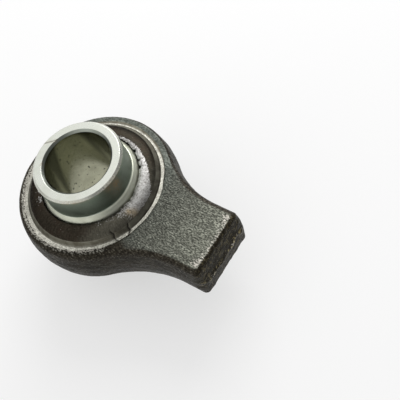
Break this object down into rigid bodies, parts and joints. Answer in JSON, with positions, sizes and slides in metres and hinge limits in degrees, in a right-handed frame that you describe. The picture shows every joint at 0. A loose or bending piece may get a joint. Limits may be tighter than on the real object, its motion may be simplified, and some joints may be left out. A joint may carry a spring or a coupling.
{
  "type": "weld-on ball end",
  "caption": "Weld-on ball end for a linkage arm: a collared swivel ball with a through bore, held by rolled rims in a round forged eye that narrows to a flat weld shank.",
  "frame": {"origin": "centre of the ball, on the bore's axis", "axes": "+Z along the bore, +X from the ball along the shank to its weld face, +Y across the shank"},
  "size_m": [0.0898, 0.064, 0.051],
  "materials": {
    "forged_steel": "dark forging scale, rough, with turned rims",
    "plated_steel": "turned, thin zinc plate, satin"
  },
  "bodies": {
    "arm_end": {"forged_eye": "forged_steel"},
    "ball": {"swivel_ball": "plated_steel"}
  },
  "joints": [
    {"name": "ball_swivel", "type": "hinge", "parent": "arm_end", "child": "ball", "pos_m": [0, 0, 0], "axis": [0, 1, 0], "range_deg": [-7, 7]}
  ]
}
